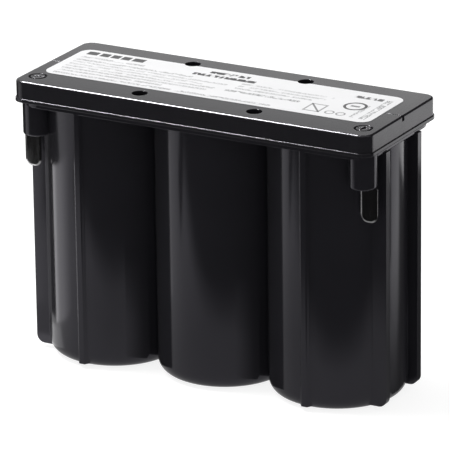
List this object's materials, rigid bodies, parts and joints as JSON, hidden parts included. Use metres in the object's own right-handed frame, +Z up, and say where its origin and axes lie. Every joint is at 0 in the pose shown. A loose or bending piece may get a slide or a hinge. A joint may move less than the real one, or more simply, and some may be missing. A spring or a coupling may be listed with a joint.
{
  "type": "sealed lead-acid monobloc battery",
  "caption": "Sealed lead-acid battery: a row of round cells in one black jar under a flat labelled cover, with screw holes through it and quick-connect tabs below its front corners.",
  "frame": {"origin": "on the resting plane, below the centre of the cover's outline", "axes": "+X along the row of cells towards the positive terminal, -Y out of the side with the terminals, +Z up through the label"},
  "size_m": [0.1392, 0.052, 0.1025],
  "materials": {
    "case_plastic": "moulded, slightly satin",
    "inner_plastic": "moulded, matt",
    "label_film": "smooth self-adhesive film, printed grey",
    "tinned_metal": "tin plate, smooth",
    "potting_resin": "cured resin",
    "positive_paste": "matt and porous, on a lead grid",
    "negative_paste": "matt sponge lead on a lead grid",
    "glass_mat": "felted glass microfibre",
    "cast_lead": "dull, as cast",
    "valve_rubber": "moulded, matt"
  },
  "bodies": {
    "battery": {"jar": "case_plastic", "top_cover": "case_plastic", "rating_label": "label_film", "inner_cover": "inner_plastic", "negative_terminal_tab": "tinned_metal", "negative_tab_potting": "potting_resin", "negative_terminal_lead": "tinned_metal", "negative_post": "cast_lead", "negative_post_seal": "potting_resin", "positive_terminal_tab": "tinned_metal", "positive_tab_potting": "potting_resin", "positive_terminal_lead": "tinned_metal", "positive_post": "cast_lead", "positive_post_seal": "potting_resin", "positive_plate_left": "positive_paste", "negative_plate_left": "negative_paste", "separator_left": "glass_mat", "positive_strap_left": "cast_lead", "negative_strap_left": "cast_lead", "positive_plate_middle": "positive_paste", "negative_plate_middle": "negative_paste", "separator_middle": "glass_mat", "positive_strap_middle": "cast_lead", "negative_strap_middle": "cast_lead", "positive_plate_right": "positive_paste", "negative_plate_right": "negative_paste", "separator_right": "glass_mat", "positive_strap_right": "cast_lead", "negative_strap_right": "cast_lead", "intercell_link_left": "cast_lead", "intercell_link_right": "cast_lead"},
    "valve_left": {"relief_valve_left": "valve_rubber"},
    "valve_middle": {"relief_valve_middle": "valve_rubber"},
    "valve_right": {"relief_valve_right": "valve_rubber"}
  },
  "joints": [
    {"name": "valve_lift_left", "type": "slide", "parent": "battery", "child": "valve_left", "axis": [0, 0, 1], "range_m": [0, 0.0006], "stiffness_N_per_m": 800},
    {"name": "valve_lift_middle", "type": "slide", "parent": "battery", "child": "valve_middle", "axis": [0, 0, 1], "range_m": [0, 0.0006], "stiffness_N_per_m": 800},
    {"name": "valve_lift_right", "type": "slide", "parent": "battery", "child": "valve_right", "axis": [0, 0, 1], "range_m": [0, 0.0006], "stiffness_N_per_m": 800}
  ]
}
